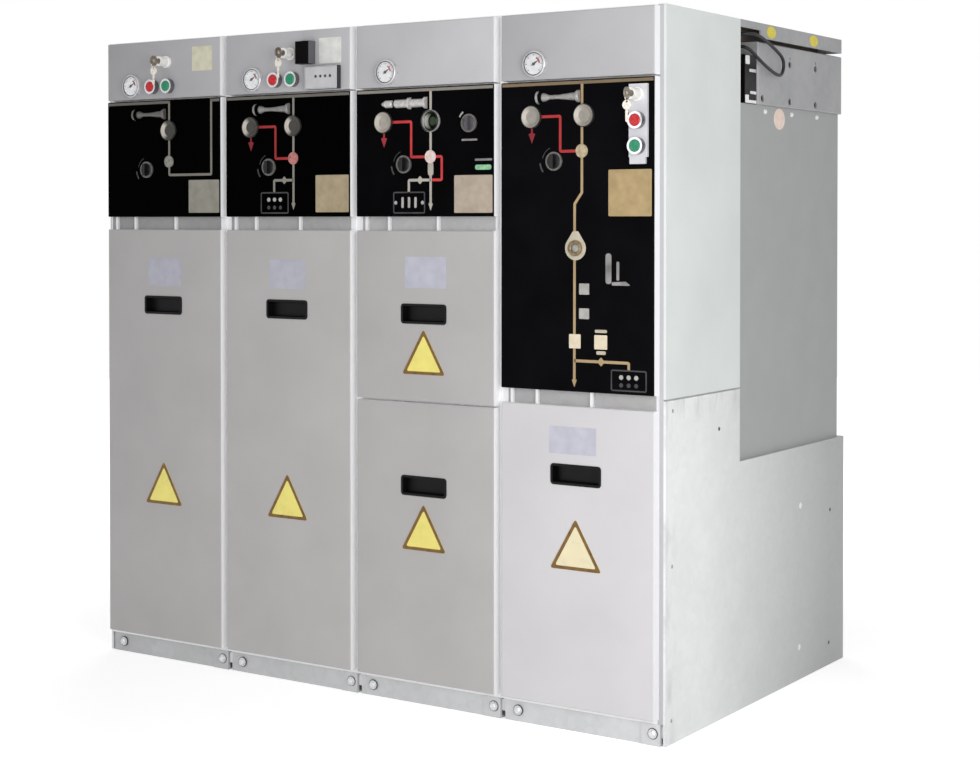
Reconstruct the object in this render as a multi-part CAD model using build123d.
"""Row of four medium-voltage switchgear bays with solid insulation, in millimetres.

X runs along the row to the right, Y runs from the front to the back, Z is up.
The origin lies on the floor, in the middle of the row's box.
"""
import os
from math import radians, tan

from build123d import *

# The row of bays
BAY_COUNT = 4
BAY_PITCH = 420.0
HEIGHT = 1635.0
DEPTH = 998.0
FRONT_DEPTH = 370.0
REAR_STEP_HEIGHT = 590.0
END_SHEET = 6.0
SIDE_SEAM_RISE = 21.0
SIDE_SEAM_GAP = 4.0

# Plinth rails under each bay
PLINTH_HEIGHT = 48.0
PLINTH_WALL = 5.0
PLINTH_FLANGE = 45.0
PLINTH_GAP = 12.0
PLINTH_CLEAT_WIDTH = 48.0
PLINTH_CLEAT_PROUD = 3.0

# Insulated modules behind the mechanism housings
MODULE_GAP = 16.0
MODULE_SETBACK = 6.0
MODULE_EDGE = 8.0

# Busbar chamber and its roof, at the top of the rear
BUSBAR_HEIGHT = 195.0
ROOF_SHEET = 4.0
ROOF_FLANGE = 36.0
END_PAN_DEPTH = 60.0
END_PAN_WALL = 4.0
END_PAN_FRONT = 480.0
END_PAN_SLIT = 8.0
END_PAN_BACK_GAP = 6.0
ROOF_BACK_GAP = 22.0
EXTENSION_HOLE_RADIUS = 8.5
EXTENSION_SPACING_Y = 158.0
EXTENSION_SPACING_Z = 92.0
EXTENSION_HOLE_PLACE_SHARES = (0.512, 0.407)
EXTENSION_SLOT_LENGTH = 9.0
EXTENSION_SLOT_WIDTH = 6.0
EXTENSION_SLOT_GAP = 1.5
FRONT_HOLE_INSET = 24.0
END_PAN_FOLD_RADIUS = 4.0

# Wiring pocket beside the right end pan, with its plugs and its lead
POCKET_BLOCK = (34.0, 50.0, 44.0)
POCKET_BLOCK_TOP_GAP = 10.0
POCKET_COLUMN = (56.0, 62.0, 116.0)
POCKET_SIDE_GAP = 4.0
LEAD_RADIUS = 4.0
LEAD_ARC_SHARE = 0.45

# Front pans: instrument panels, mimic panels and covers
PAN_SIDE_GAP = 20.0
PAN_PROUD = 24.0
PAN_FOLD_RADIUS = 3.0
PAN_GAP = 4.0
INSTRUMENT_TOP_GAP = 4.0
INSTRUMENT_HEIGHT = 151.0
MIMIC_HEIGHT = 306.5
TALL_MIMIC_HEIGHT = 701.0
RAIL_HEIGHT = 33.5
RAIL_THICKNESS = 8.0
RAIL_TAB_WIDTH = 7.0
RAIL_TAB_PROUD = 8.0
RAIL_TAB_SHARES = (-0.44, -0.27, 0.09)
COVER_FLOOR_GAP = 59.0
SPLIT_COVER_HEIGHT = 666.5

# Recessed pulls in the covers
CUP_WIDTH = 126.0
CUP_HEIGHT = 42.0
CUP_DEPTH = 21.0
CUP_WALL = 2.5
CUP_LIP = 3.0
CUP_LIP_PROUD = 1.5
CUP_CORNER = 5.0
CUP_DRAFT_DEGREES = 6.0
CUP_DROP = 198.0
LOW_CUP_DROP = 155.0
SEAT_CLEARANCE = 0.3

# Gauges
GAUGE_RADIUS = 30.0
GAUGE_DEPTH = 12.0
GAUGE_BEZEL = 3.0
GAUGE_GLASS_DROP = 3.0
GAUGE_PLACE_SHARES = (-0.2645, 0.234)

# Push buttons
BEZEL_RADIUS = 19.0
BEZEL_HEIGHT = 15.0
CAP_RADIUS = 13.5
CAP_STAND = 18.0
CAP_EDGE = 2.0
BUTTON_TRAVEL = 4.0
RUNNING_CLEARANCE = 0.4
BUTTON_BACK_GAP = 1.0
RED_PLACE_SHARES = (-0.083, 0.206)
GREEN_PLACE_SHARES = (0.057, 0.206)

# Key switches
BARREL_FLANGE_RADIUS = 15.5
BARREL_FLANGE = 6.0
BARREL_RADIUS = 13.0
BARREL_LENGTH = 32.0
PLUG_RADIUS = 7.0
PLUG_LENGTH = 14.0
SHANK_LENGTH = 4.0
SHANK_HEIGHT = 9.0
KEY_THICKNESS = 3.0
BOW_RADIUS = 13.0
BOW_HOLE_RADIUS = 5.0
KEY_PLACE_SHARES = (0.0365, 0.627)

# Rotary locks on the mimic panels and the selector on bay 3
KNOB_RADIUS = 17.0
KNOB_BASE = 7.0
KNOB_GRIP_WIDTH = 9.0
KNOB_GRIP_STAND = 9.0
KNOB_EDGE = 1.5
RING_WALL = 4.0
RING_HEIGHT = 5.0
LOCK_PLACE_SHARES = (-0.14, 0.594)
SELECTOR_PLACE_SHARES = (0.329, 0.29)

# Shaft caps, lever socket and interlock bars on the mimic panels
SHAFT_CAP_RADIUS = 26.0
SHAFT_CAP_HEIGHT = 7.0
SHAFT_CAP_EDGE = 2.5
LEFT_SHAFT_SHARES = (-0.291, 0.263)
RIGHT_SHAFT_SHARES = (0.0558, 0.263)
SOCKET_WALL = 2.5
SOCKET_DEPTH = 18.0
BAR_PLACE_SHARES = (-0.1165, 0.121)
BAR_LENGTH = 116.0
BAR_NECK_RADIUS = 5.0
BAR_KNOB_RADIUS = 15.0
BAR_KNOB_LENGTH = 15.0
BAR_COLLAR_RADIUS = 14.0
BAR_COLLAR_LENGTH = 7.0
BAR_ROD_RADIUS = 10.0
BAR_PIN_RADIUS = 9.0
BAR_PIN_LENGTH = 31.0
BAR_PIN_GAP = 7.0
BAR_ROD_LENGTH = 94.0
BAR_EDGE = 2.0

# Control strip of bay 4 and the two instruments of bay 2
STRIP_WIDTH = 46.0
STRIP_HEIGHT = 176.0
STRIP_THICKNESS = 8.0
STRIP_PLACE_SHARES = (0.406, 0.339)
STRIP_KEY_SHARE = 0.13
STRIP_RED_SHARE = 0.455
STRIP_GREEN_SHARE = 0.775
RELAY_WIDTH = 44.0
RELAY_HEIGHT = 56.0
RELAY_DEPTH = 26.0
RELAY_PLACE_SHARES = (0.175, 0.624)
DISPLAY_WIDTH = 102.0
DISPLAY_HEIGHT = 57.0
DISPLAY_DEPTH = 17.0
DISPLAY_FRAME = 3.0
DISPLAY_SINK = 1.5
DISPLAY_PLACE_SHARES = (0.3015, 0.205)
BOX_EDGE = 2.0

# One overrun serves all cuts
OVERRUN = 2.0

# Places worked out from the sizes above
KEY_REACH = BARREL_LENGTH + SHANK_LENGTH + 2 * BOW_RADIUS
FRONT_REACH = PAN_PROUD + STRIP_THICKNESS + KEY_REACH
FRAME_FRONT = (FRONT_REACH - DEPTH) / 2
FRAME_BACK = FRAME_FRONT + DEPTH
FRONT_BACK = FRAME_FRONT + FRONT_DEPTH
PAN_FACE = FRAME_FRONT - PAN_PROUD
ROW_HALF = BAY_COUNT * BAY_PITCH / 2
PAN_WIDTH = BAY_PITCH - PAN_SIDE_GAP
ROW_OUTER = ROW_HALF + END_SHEET
INSTRUMENT_TOP = HEIGHT - INSTRUMENT_TOP_GAP
INSTRUMENT_BOTTOM = INSTRUMENT_TOP - INSTRUMENT_HEIGHT
MIMIC_TOP = INSTRUMENT_BOTTOM - PAN_GAP
MIMIC_BOTTOM = MIMIC_TOP - MIMIC_HEIGHT
TALL_MIMIC_BOTTOM = MIMIC_TOP - TALL_MIMIC_HEIGHT
COVER_TOP = MIMIC_BOTTOM - RAIL_HEIGHT
LOW_COVER_TOP = TALL_MIMIC_BOTTOM - RAIL_HEIGHT
SIDE_SEAM_HEIGHT = LOW_COVER_TOP + SIDE_SEAM_RISE
MODULE_TOP = HEIGHT - BUSBAR_HEIGHT
SPLIT_HEIGHT = COVER_FLOOR_GAP + SPLIT_COVER_HEIGHT
END_PAN_BACK = FRAME_BACK - END_PAN_BACK_GAP
END_PAN_TOP = HEIGHT - ROOF_FLANGE - END_PAN_SLIT
ROOF_BACK = FRAME_BACK - ROOF_BACK_GAP

nodes = {}


def bay_centre(bay):
    """Middle of a bay along the row, bays counted from 1 at the left."""
    return (bay - (BAY_COUNT + 1) / 2) * BAY_PITCH


def block(x0, x1, y0, y1, z0, z1):
    """Box between two corners."""
    middle = Pos((x0 + x1) / 2, (y0 + y1) / 2, (z0 + z1) / 2)
    return middle * Box(x1 - x0, y1 - y0, z1 - z0)


def plate_from_side(points, x0, thickness):
    """Outline in the side view, as (y, z) points, given a thickness along X."""
    outline = Plane.YZ * make_face(Polyline(*points, close=True))
    return Pos(x0, 0, 0) * extrude(outline, amount=thickness)


def turned(points, x, y, z):
    """Piece turned about an axis along Y; points are (radius, height off the seat)."""
    outline = make_face(Polyline(*[(radius, -stand) for radius, stand in points], close=True))
    return Pos(x, y, z) * revolve(outline, Axis.Y)


def tube(x, y, z, outer, inner, stand):
    """Ring that stands off a seat towards the front."""
    return turned([(inner, 0), (outer, 0), (outer, stand), (inner, stand)], x, y, z)


def in_panel(bay, bottom, height, shares):
    """Place on a panel, from shares of its width off the middle and its height."""
    return bay_centre(bay) + shares[0] * PAN_WIDTH, bottom + shares[1] * height


def in_instruments(bay, shares):
    """Place on an instrument panel, with the height share counted up from its bottom."""
    return in_panel(bay, INSTRUMENT_BOTTOM, INSTRUMENT_HEIGHT, shares)


def in_mimic(bay, shares):
    """Place on a mimic panel, with the height share counted down from its top."""
    return in_panel(bay, MIMIC_TOP, -MIMIC_HEIGHT, shares)


def in_strip(share):
    """Place on the control strip of bay 4, counted down from its top."""
    x, z = in_mimic(BAY_COUNT, STRIP_PLACE_SHARES)
    return x, z + STRIP_HEIGHT / 2 - share * STRIP_HEIGHT


def pan(bay, bottom, top):
    """Folded sheet pan on the front of a bay, with its front edges rounded by the fold."""
    half = PAN_WIDTH / 2
    x = bay_centre(bay)
    body = block(x - half, x + half, PAN_FACE, FRAME_FRONT, bottom, top)
    return fillet(body.faces().sort_by(Axis.Y)[0].edges(), PAN_FOLD_RADIUS)


def bay_housing(bay):
    """Steel cubicle of one bay: tall mechanism part in front, low cable part behind."""
    points = [
        (FRAME_FRONT, PLINTH_HEIGHT),
        (FRAME_BACK, PLINTH_HEIGHT),
        (FRAME_BACK, REAR_STEP_HEIGHT),
        (FRONT_BACK, REAR_STEP_HEIGHT),
        (FRONT_BACK, HEIGHT),
        (FRAME_FRONT, HEIGHT),
    ]
    return plate_from_side(points, bay_centre(bay) - BAY_PITCH / 2, BAY_PITCH)


def plinth_rails():
    """Channel rails under the front and the back edge of every bay; the front ones have a splice cleat."""
    rails = []
    length = BAY_PITCH - PLINTH_GAP
    for bay in range(1, BAY_COUNT + 1):
        for edge, inward in ((FRAME_FRONT, 1), (FRAME_BACK, -1)):
            web = edge + inward * PLINTH_WALL
            lip = edge + inward * PLINTH_FLANGE
            points = [
                (edge, 0),
                (lip, 0),
                (lip, PLINTH_WALL),
                (web, PLINTH_WALL),
                (web, PLINTH_HEIGHT - PLINTH_WALL),
                (lip, PLINTH_HEIGHT - PLINTH_WALL),
                (lip, PLINTH_HEIGHT),
                (edge, PLINTH_HEIGHT),
            ]
            rail = plate_from_side(points, bay_centre(bay) - length / 2, length)
            if edge == FRAME_FRONT:
                right = bay_centre(bay) + length / 2
                front = edge - PLINTH_CLEAT_PROUD
                rail += block(right - PLINTH_CLEAT_WIDTH, right, front, web, 0, PLINTH_HEIGHT)
            rails.append(rail)
    return Compound(rails)


def insulated_module(bay):
    """Cast insulated switch module behind the mechanism part."""
    half = (BAY_PITCH - MODULE_GAP) / 2
    x = bay_centre(bay)
    body = block(x - half, x + half, FRONT_BACK, FRAME_BACK - MODULE_SETBACK, REAR_STEP_HEIGHT, MODULE_TOP)
    rear_edges = body.faces().sort_by(Axis.Y)[-1].edges().filter_by(Axis.Z)
    return fillet(rear_edges, MODULE_EDGE)


def end_sheets(side):
    """Upper and lower end sheet; side is 1 for the right end and -1 for the left."""
    x0 = min(side * ROW_HALF, side * ROW_OUTER)
    upper = [
        (FRAME_FRONT, SIDE_SEAM_HEIGHT + SIDE_SEAM_GAP),
        (FRONT_BACK, SIDE_SEAM_HEIGHT + SIDE_SEAM_GAP),
        (FRONT_BACK, HEIGHT),
        (FRAME_FRONT, HEIGHT),
    ]
    lower = [
        (FRAME_FRONT, 0),
        (FRAME_BACK, 0),
        (FRAME_BACK, REAR_STEP_HEIGHT),
        (FRONT_BACK, REAR_STEP_HEIGHT),
        (FRONT_BACK, SIDE_SEAM_HEIGHT),
        (FRAME_FRONT, SIDE_SEAM_HEIGHT),
    ]
    return plate_from_side(upper, x0, END_SHEET), plate_from_side(lower, x0, END_SHEET)


def busbar_housing():
    """Closed chamber that runs along the top of the modules."""
    half = ROW_HALF - END_PAN_DEPTH
    return block(-half, half, FRONT_BACK, ROOF_BACK - ROOF_SHEET, MODULE_TOP, HEIGHT - ROOF_SHEET)


def roof_channel():
    """Roof sheet over the busbar chamber, folded down at both ends and at the back."""
    outer = block(-ROW_OUTER, ROW_OUTER, FRONT_BACK, ROOF_BACK, HEIGHT - ROOF_FLANGE, HEIGHT)
    inner_half = ROW_OUTER - ROOF_SHEET
    inner = block(
        -inner_half,
        inner_half,
        FRONT_BACK - OVERRUN,
        ROOF_BACK - ROOF_SHEET,
        HEIGHT - ROOF_FLANGE - OVERRUN,
        HEIGHT - ROOF_SHEET,
    )
    pocket_flange = block(
        -ROW_OUTER - OVERRUN,
        ROW_OUTER + OVERRUN,
        FRONT_BACK - OVERRUN,
        FRAME_FRONT + END_PAN_FRONT,
        HEIGHT - ROOF_FLANGE - OVERRUN,
        HEIGHT - ROOF_FLANGE / 2,
    )
    return outer - inner - pocket_flange


def extension_holes(side):
    """Bolt holes through an end pan for a further bay, the hanging slots over them and one hole in front."""
    front = FRAME_FRONT + END_PAN_FRONT
    y = front + EXTENSION_HOLE_PLACE_SHARES[0] * (END_PAN_BACK - front)
    z = MODULE_TOP + EXTENSION_HOLE_PLACE_SHARES[1] * (END_PAN_TOP - MODULE_TOP)
    holes = []
    for row in (-1, 1):
        for column in (-1, 1):
            place = Pos(
                side * ROW_HALF,
                y + row * EXTENSION_SPACING_Y / 2,
                z + column * EXTENSION_SPACING_Z / 2,
            )
            holes.append(place * Rot(0, 90, 0) * Cylinder(EXTENSION_HOLE_RADIUS, END_PAN_DEPTH))
        rise = EXTENSION_HOLE_RADIUS + EXTENSION_SLOT_GAP + EXTENSION_SLOT_LENGTH / 2
        slot_z = z + EXTENSION_SPACING_Z / 2 + rise
        outline = Plane.YZ * Rot(0, 0, 90) * SlotOverall(EXTENSION_SLOT_LENGTH, EXTENSION_SLOT_WIDTH)
        place = Pos(side * ROW_HALF, y + row * EXTENSION_SPACING_Y / 2, slot_z)
        holes.append(place * extrude(outline, amount=END_PAN_DEPTH / 2, both=True))
    place = Pos(side * ROW_HALF, front + FRONT_HOLE_INSET, z - EXTENSION_SPACING_Z / 2)
    holes.append(place * Rot(0, 90, 0) * Cylinder(EXTENSION_HOLE_RADIUS, END_PAN_DEPTH))
    return holes


def end_pan(side):
    """Folded end plate of the busbar chamber."""
    inner_x = side * (ROW_HALF - END_PAN_DEPTH)
    outer_x = side * ROW_HALF
    front = FRAME_FRONT + END_PAN_FRONT
    x0, x1 = sorted((inner_x, outer_x))
    body = block(x0, x1, front, END_PAN_BACK, MODULE_TOP, END_PAN_TOP)
    outer_face = max(body.faces(), key=lambda face: side * face.center().X)
    body = fillet(outer_face.edges(), END_PAN_FOLD_RADIUS)
    x0, x1 = sorted((inner_x - side * OVERRUN, outer_x - side * END_PAN_WALL))
    hollow = block(
        x0,
        x1,
        front + END_PAN_WALL,
        END_PAN_BACK - END_PAN_WALL,
        MODULE_TOP + END_PAN_WALL,
        END_PAN_TOP - END_PAN_WALL,
    )
    body -= hollow
    for hole in extension_holes(side):
        body -= hole
    return body


def pocket_plugs():
    """Plug block and terminal column in the wiring pocket at the right end."""
    back = FRAME_FRONT + END_PAN_FRONT
    inner = ROW_HALF - END_PAN_DEPTH
    width, depth, height = POCKET_BLOCK
    top = HEIGHT - ROOF_FLANGE / 2 - POCKET_BLOCK_TOP_GAP
    plug = block(inner, inner + width, FRONT_BACK, FRONT_BACK + depth, top - height, top)
    width, depth, height = POCKET_COLUMN
    y1 = back - POCKET_SIDE_GAP
    column = block(inner, inner + width, y1 - depth, y1, MODULE_TOP, MODULE_TOP + height)
    return Compound([plug, column])


def cover_rail(bay, bottom):
    """Strip between a mimic panel and the cover below it, with the cover's hooks."""
    half = PAN_WIDTH / 2
    x = bay_centre(bay)
    top = bottom + RAIL_HEIGHT
    rail = block(x - half, x + half, FRAME_FRONT - RAIL_THICKNESS, FRAME_FRONT, bottom, top)
    for share in RAIL_TAB_SHARES:
        tab_x = x + share * PAN_WIDTH
        tab_front = FRAME_FRONT - RAIL_THICKNESS - RAIL_TAB_PROUD
        rail += block(
            tab_x - RAIL_TAB_WIDTH / 2,
            tab_x + RAIL_TAB_WIDTH / 2,
            tab_front,
            FRAME_FRONT,
            bottom,
            top,
        )
    return rail


def cup_outline(bay, z, y, grow):
    """Rounded outline of a pull at a depth, larger or smaller by an offset, facing into the cover."""
    place = Plane(origin=(bay_centre(bay), y, z), x_dir=(1, 0, 0), z_dir=(0, 1, 0))
    return place * RectangleRounded(CUP_WIDTH + 2 * grow, CUP_HEIGHT + 2 * grow, CUP_CORNER + grow)


def cover(bay, bottom, top, drop):
    """Lift-off cover with the pocket for its pull."""
    outline = cup_outline(bay, top - drop, PAN_FACE - OVERRUN, SEAT_CLEARANCE)
    pocket = extrude(outline, amount=OVERRUN + CUP_DEPTH + SEAT_CLEARANCE)
    return pan(bay, bottom, top) - pocket


def cup(bay, top, drop):
    """Moulded pull: a lip on the cover, a cup behind it and a drafted hollow."""
    z = top - drop
    front = PAN_FACE - CUP_LIP_PROUD
    lip = extrude(cup_outline(bay, z, front, CUP_LIP), amount=CUP_LIP_PROUD)
    body = extrude(cup_outline(bay, z, PAN_FACE, 0), amount=CUP_DEPTH)
    hollow_depth = CUP_LIP_PROUD + CUP_DEPTH - CUP_WALL
    hollow = extrude(cup_outline(bay, z, front, -CUP_WALL), amount=hollow_depth, taper=CUP_DRAFT_DEGREES)
    return lip + body - hollow


def gauge(bay):
    """Round pressure gauge with a raised bezel round its glass."""
    x, z = in_instruments(bay, GAUGE_PLACE_SHARES)
    dial = GAUGE_RADIUS - GAUGE_BEZEL
    points = [
        (0, 0),
        (GAUGE_RADIUS, 0),
        (GAUGE_RADIUS, GAUGE_DEPTH - GAUGE_BEZEL / 2),
        (GAUGE_RADIUS - GAUGE_BEZEL / 2, GAUGE_DEPTH),
        (dial, GAUGE_DEPTH),
        (dial, GAUGE_DEPTH - GAUGE_GLASS_DROP),
        (0, GAUGE_DEPTH - GAUGE_GLASS_DROP),
    ]
    return turned(points, x, PAN_FACE, z)


def bezel(x, seat, z):
    """Collar of a push button."""
    return tube(x, seat, z, BEZEL_RADIUS, CAP_RADIUS + RUNNING_CLEARANCE, BEZEL_HEIGHT)


def button(x, seat, z):
    """Cap of a push button, with room behind it for its travel."""
    back = BUTTON_TRAVEL + BUTTON_BACK_GAP
    points = [
        (0, back),
        (CAP_RADIUS, back),
        (CAP_RADIUS, CAP_STAND - CAP_EDGE),
        (CAP_RADIUS - CAP_EDGE, CAP_STAND),
        (0, CAP_STAND),
    ]
    return turned(points, x, seat, z)


def key_barrel(x, seat, z):
    """Fixed barrel of a key switch, bored for its plug."""
    bore = PLUG_RADIUS + RUNNING_CLEARANCE
    bottom = BARREL_LENGTH - PLUG_LENGTH - RUNNING_CLEARANCE
    points = [
        (0, 0),
        (BARREL_FLANGE_RADIUS, 0),
        (BARREL_FLANGE_RADIUS, BARREL_FLANGE),
        (BARREL_RADIUS, BARREL_FLANGE),
        (BARREL_RADIUS, BARREL_LENGTH),
        (bore, BARREL_LENGTH),
        (bore, bottom),
        (0, bottom),
    ]
    return turned(points, x, seat, z)


def key(x, seat, z):
    """Key in its plug: the plug turns with it inside the barrel."""
    front = seat - BARREL_LENGTH
    plug_back = BARREL_LENGTH - PLUG_LENGTH
    plug = tube(x, seat, z, PLUG_RADIUS, 0, BARREL_LENGTH) - tube(x, seat, z, PLUG_RADIUS, 0, plug_back)
    half = KEY_THICKNESS / 2
    bow_y = front - SHANK_LENGTH - BOW_RADIUS
    shank = block(x - half, x + half, bow_y, front, z - SHANK_HEIGHT / 2, z + SHANK_HEIGHT / 2)
    bow_place = Pos(x, bow_y, z) * Rot(0, 90, 0)
    bow = bow_place * Cylinder(BOW_RADIUS, KEY_THICKNESS)
    hole = bow_place * Cylinder(BOW_HOLE_RADIUS, KEY_THICKNESS + OVERRUN)
    return plug + (shank + bow - hole)


def knob(x, seat, z):
    """Rotary lock: a round base with a raised grip across it."""
    foot = SEAT_CLEARANCE
    points = [
        (0, foot),
        (KNOB_RADIUS, foot),
        (KNOB_RADIUS, KNOB_BASE - KNOB_EDGE),
        (KNOB_RADIUS - KNOB_EDGE, KNOB_BASE),
        (0, KNOB_BASE),
    ]
    base = turned(points, x, seat, z)
    half = KNOB_RADIUS - KNOB_EDGE
    grip_front = seat - KNOB_BASE - KNOB_GRIP_STAND
    grip = block(x - KNOB_GRIP_WIDTH / 2, x + KNOB_GRIP_WIDTH / 2, grip_front, seat - foot, z - half, z + half)
    return base + fillet(grip.edges().filter_by(Axis.Y), KNOB_EDGE)


def knob_ring(x, seat, z):
    """Fixed ring round a rotary lock."""
    inner = KNOB_RADIUS + RUNNING_CLEARANCE
    return tube(x, seat, z, inner + RING_WALL, inner, RING_HEIGHT)


def shaft_cap(x, z):
    """Turned cap over an operating shaft."""
    points = [
        (0, 0),
        (SHAFT_CAP_RADIUS, 0),
        (SHAFT_CAP_RADIUS, SHAFT_CAP_HEIGHT - SHAFT_CAP_EDGE),
        (SHAFT_CAP_RADIUS - SHAFT_CAP_EDGE, SHAFT_CAP_HEIGHT),
        (0, SHAFT_CAP_HEIGHT),
    ]
    return turned(points, x, PAN_FACE, z)


def half_round(points, x, z):
    """Half-round piece that lies on a mimic panel; points are (place along X, radius)."""
    outline = Plane.XZ * make_face(Polyline((points[0][0], 0), *points, (points[-1][0], 0), close=True))
    return Pos(x, PAN_FACE, z) * revolve(outline, Axis.X, 180)


def interlock_bar(bay):
    """Interlock bar at rest: a domed knob at its left end, a thin neck and a collar."""
    x, z = in_mimic(bay, BAR_PLACE_SHARES)
    left = -BAR_LENGTH / 2
    right = BAR_LENGTH / 2
    collar = right - BAR_COLLAR_LENGTH
    points = [
        (left, BAR_KNOB_RADIUS / 2),
        (left + BAR_KNOB_LENGTH / 3, BAR_KNOB_RADIUS),
        (left + BAR_KNOB_LENGTH, BAR_KNOB_RADIUS),
        (left + BAR_KNOB_LENGTH, BAR_NECK_RADIUS),
        (0, BAR_NECK_RADIUS),
        (collar, BAR_ROD_RADIUS),
        (collar, BAR_COLLAR_RADIUS),
        (right - BAR_EDGE, BAR_COLLAR_RADIUS),
        (right, BAR_COLLAR_RADIUS - BAR_EDGE),
    ]
    return half_round(points, x, z)


def drawn_interlock_bar(bay):
    """Interlock bar drawn out: its pin at the left and its rod with two collars."""
    x, z = in_mimic(bay, BAR_PLACE_SHARES)
    right = BAR_LENGTH / 2
    left = right - BAR_ROD_LENGTH
    middle = (left + right) / 2
    rod = half_round([(left, BAR_ROD_RADIUS - BAR_EDGE), (left + BAR_EDGE, BAR_ROD_RADIUS), (right, BAR_ROD_RADIUS)], x, z)
    for collar in (middle - BAR_COLLAR_LENGTH, right - BAR_COLLAR_LENGTH):
        ends = [(collar, BAR_COLLAR_RADIUS), (collar + BAR_COLLAR_LENGTH, BAR_COLLAR_RADIUS)]
        rod += half_round(ends, x, z)
    pin_right = left - BAR_PIN_GAP
    pin_left = pin_right - BAR_PIN_LENGTH
    pin = half_round(
        [
            (pin_left, BAR_PIN_RADIUS / 2),
            (pin_left + BAR_PIN_LENGTH / 3, BAR_PIN_RADIUS),
            (pin_right - BAR_EDGE, BAR_PIN_RADIUS),
            (pin_right, BAR_PIN_RADIUS - BAR_EDGE),
        ],
        x,
        z,
    )
    return [pin, rod]


def raised_box(x, z, width, height, depth):
    """Small box on a panel face with its front edges eased."""
    body = block(x - width / 2, x + width / 2, PAN_FACE - depth, PAN_FACE, z - height / 2, z + height / 2)
    return fillet(body.faces().sort_by(Axis.Y)[0].edges(), BOX_EDGE)


def display_unit():
    """Framed display of bay 2 with a sunk face."""
    x, z = in_instruments(2, DISPLAY_PLACE_SHARES)
    half_width = DISPLAY_WIDTH / 2 - DISPLAY_FRAME
    half_height = DISPLAY_HEIGHT / 2 - DISPLAY_FRAME
    front = PAN_FACE - DISPLAY_DEPTH
    sink = block(
        x - half_width,
        x + half_width,
        front - OVERRUN,
        front + DISPLAY_SINK,
        z - half_height,
        z + half_height,
    )
    return raised_box(x, z, DISPLAY_WIDTH, DISPLAY_HEIGHT, DISPLAY_DEPTH) - sink


def lead_route():
    """Points of the looped lead at the right end, chosen by hand, out of the plug and back."""
    return [
        (ROW_HALF - 26.0, FRONT_BACK + 30.0, HEIGHT - 32.0),
        (ROW_HALF - 8.0, FRONT_BACK + 30.0, HEIGHT - 32.0),
        (ROW_HALF + 8.0, FRONT_BACK + 38.5, HEIGHT - 31.5),
        (ROW_HALF + 18.0, FRONT_BACK + 56.0, HEIGHT - 32.0),
        (ROW_HALF + 19.0, FRONT_BACK + 91.0, HEIGHT - 38.0),
        (ROW_HALF + 19.0, FRONT_BACK + 130.0, HEIGHT - 48.0),
        (ROW_HALF + 19.0, FRONT_BACK + 172.0, HEIGHT - 62.0),
        (ROW_HALF + 19.0, FRONT_BACK + 209.0, HEIGHT - 77.0),
        (ROW_HALF + 19.0, FRONT_BACK + 216.0, HEIGHT - 96.0),
        (ROW_HALF + 19.0, FRONT_BACK + 208.0, HEIGHT - 114.0),
        (ROW_HALF + 19.0, FRONT_BACK + 191.0, HEIGHT - 123.0),
        (ROW_HALF + 19.0, FRONT_BACK + 152.0, HEIGHT - 116.0),
        (ROW_HALF + 18.0, FRONT_BACK + 108.0, HEIGHT - 102.0),
        (ROW_HALF + 15.0, FRONT_BACK + 70.0, HEIGHT - 85.0),
        (ROW_HALF + 6.0, FRONT_BACK + 50.0, HEIGHT - 68.0),
        (ROW_HALF - 8.0, FRONT_BACK + 43.0, HEIGHT - 60.0),
        (ROW_HALF - 26.0, FRONT_BACK + 43.0, HEIGHT - 60.0),
    ]


def lead():
    """Round lead along its route, with arcs as large as its runs allow."""
    points = [Vector(*point) for point in lead_route()]
    radii = []
    for before, here, after in zip(points, points[1:], points[2:]):
        run_in = here - before
        run_out = after - here
        half_turn = radians(run_in.get_angle(run_out)) / 2
        radii.append(LEAD_ARC_SHARE * min(run_in.length, run_out.length) / tan(half_turn))
    path = FilletPolyline(*points, radius=radii)
    section = Plane(path @ 0, z_dir=path % 0) * Circle(LEAD_RADIUS)
    body = sweep(section, path)
    print("lead radii", [round(radius) for radius in radii])
    print("lead length", round(path.length), "volume share", body.volume / (section.area * path.length))
    return body


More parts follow.
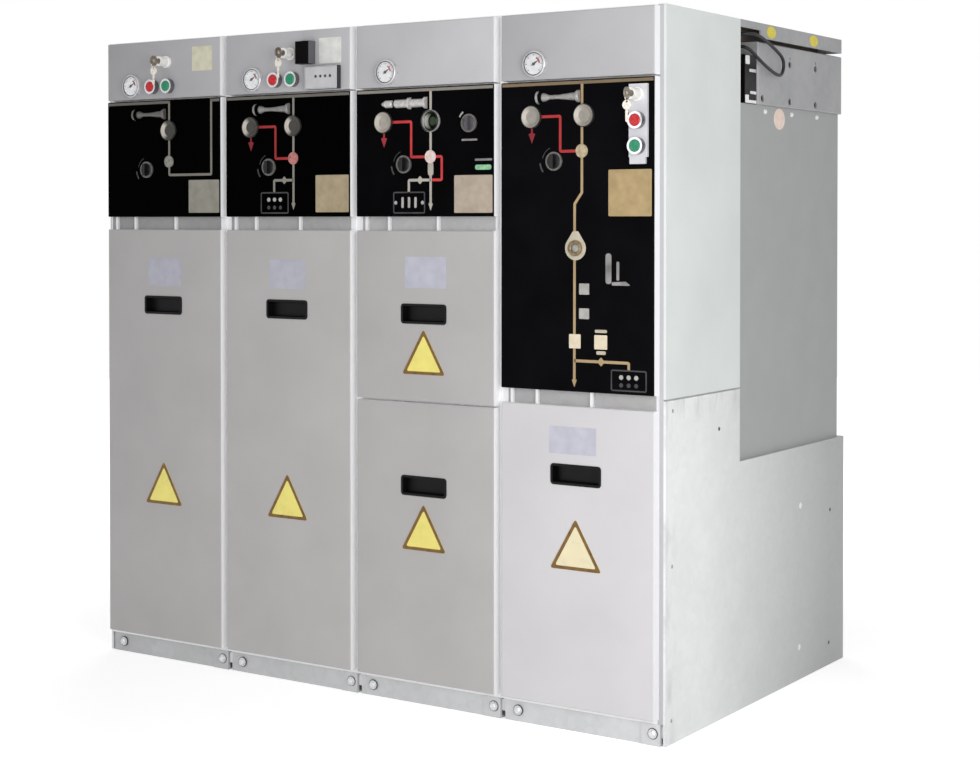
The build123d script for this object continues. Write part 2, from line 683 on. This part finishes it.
def build():
    """Make every node of the row."""
    bays = range(1, BAY_COUNT + 1)
    nodes["plinth_rails"] = plinth_rails()
    for bay in bays:
        nodes[f"bay_housing_{bay}"] = bay_housing(bay)
        nodes[f"insulated_module_{bay}"] = insulated_module(bay)
        nodes[f"instrument_panel_{bay}"] = pan(bay, INSTRUMENT_BOTTOM, INSTRUMENT_TOP)
        bottom = TALL_MIMIC_BOTTOM if bay == BAY_COUNT else MIMIC_BOTTOM
        nodes[f"mimic_panel_{bay}"] = pan(bay, bottom, MIMIC_TOP)
    for side, word in ((1, "right"), (-1, "left")):
        upper, lower = end_sheets(side)
        nodes[f"{word}_upper_end_sheet"] = upper
        nodes[f"{word}_lower_end_sheet"] = lower
        nodes[f"{word}_busbar_end_pan"] = end_pan(side)
    nodes["busbar_housing"] = busbar_housing()
    nodes["roof_channel"] = roof_channel()
    nodes["pocket_plugs"] = pocket_plugs()
    nodes["lead_loop"] = lead()

    rails = [cover_rail(bay, LOW_COVER_TOP if bay == BAY_COUNT else COVER_TOP) for bay in bays]
    nodes["cover_rails"] = Compound(rails)
    covers = [
        ("cover_1", 1, COVER_FLOOR_GAP, COVER_TOP, CUP_DROP),
        ("cover_2", 2, COVER_FLOOR_GAP, COVER_TOP, CUP_DROP),
        ("cover_3_upper", 3, SPLIT_HEIGHT + PAN_GAP, COVER_TOP, CUP_DROP),
        ("cover_3_lower", 3, COVER_FLOOR_GAP, SPLIT_HEIGHT, CUP_DROP),
        ("cover_4", 4, COVER_FLOOR_GAP, LOW_COVER_TOP, LOW_CUP_DROP),
    ]
    cups = []
    for name, bay, bottom, top, drop in covers:
        nodes[name] = cover(bay, bottom, top, drop)
        cups.append(cup(bay, top, drop))
    nodes["cover_pulls"] = Compound(cups)

    nodes["gauges"] = Compound([gauge(bay) for bay in bays])

    strip_x, strip_z = in_mimic(BAY_COUNT, STRIP_PLACE_SHARES)
    nodes["control_strip"] = raised_box(strip_x, strip_z, STRIP_WIDTH, STRIP_HEIGHT, STRIP_THICKNESS)
    strip_face = PAN_FACE - STRIP_THICKNESS
    bezels = []
    barrels = []
    for bay in (1, 2, BAY_COUNT):
        if bay == BAY_COUNT:
            seat = strip_face
            red, green, lock = in_strip(STRIP_RED_SHARE), in_strip(STRIP_GREEN_SHARE), in_strip(STRIP_KEY_SHARE)
        else:
            seat = PAN_FACE
            red = in_instruments(bay, RED_PLACE_SHARES)
            green = in_instruments(bay, GREEN_PLACE_SHARES)
            lock = in_instruments(bay, KEY_PLACE_SHARES)
        for word, (x, z) in (("red", red), ("green", green)):
            bezels.append(bezel(x, seat, z))
            nodes[f"{word}_button_{bay}"] = button(x, seat, z)
        barrels.append(key_barrel(lock[0], seat, lock[1]))
        nodes[f"key_{bay}"] = key(lock[0], seat, lock[1])
    nodes["button_bezels"] = Compound(bezels)
    nodes["key_barrels"] = Compound(barrels)

    rings = []
    for bay in bays:
        x, z = in_mimic(bay, LOCK_PLACE_SHARES)
        nodes[f"lock_knob_{bay}"] = knob(x, PAN_FACE, z)
        rings.append(knob_ring(x, PAN_FACE, z))
    x, z = in_mimic(3, SELECTOR_PLACE_SHARES)
    nodes["selector_knob_3"] = knob(x, PAN_FACE, z)
    rings.append(knob_ring(x, PAN_FACE, z))
    nodes["knob_rings"] = Compound(rings)

    caps = [shaft_cap(*in_mimic(bay, LEFT_SHAFT_SHARES)) for bay in (2, 3, 4)]
    caps += [shaft_cap(*in_mimic(bay, RIGHT_SHAFT_SHARES)) for bay in (1, 2, 4)]
    nodes["shaft_caps"] = Compound(caps)
    socket_x, socket_z = in_mimic(3, RIGHT_SHAFT_SHARES)
    bore = SHAFT_CAP_RADIUS - SOCKET_WALL
    nodes["lever_socket"] = tube(socket_x, PAN_FACE, socket_z, SHAFT_CAP_RADIUS, bore, SHAFT_CAP_HEIGHT)
    drill = tube(socket_x, PAN_FACE + SOCKET_DEPTH, socket_z, bore, 0, SOCKET_DEPTH + OVERRUN)
    nodes["mimic_panel_3"] = nodes["mimic_panel_3"] - drill
    nodes["interlock_bars"] = Compound([interlock_bar(bay) for bay in (1, 2, BAY_COUNT)] + drawn_interlock_bar(3))

    relay_x, relay_z = in_instruments(2, RELAY_PLACE_SHARES)
    nodes["relay_box"] = raised_box(relay_x, relay_z, RELAY_WIDTH, RELAY_HEIGHT, RELAY_DEPTH)
    nodes["display_unit"] = display_unit()


build()
os.makedirs("parts", exist_ok=True)
for name, shape in nodes.items():
    export_step(shape, f"parts/{name}.step")
print(len(nodes), "nodes")
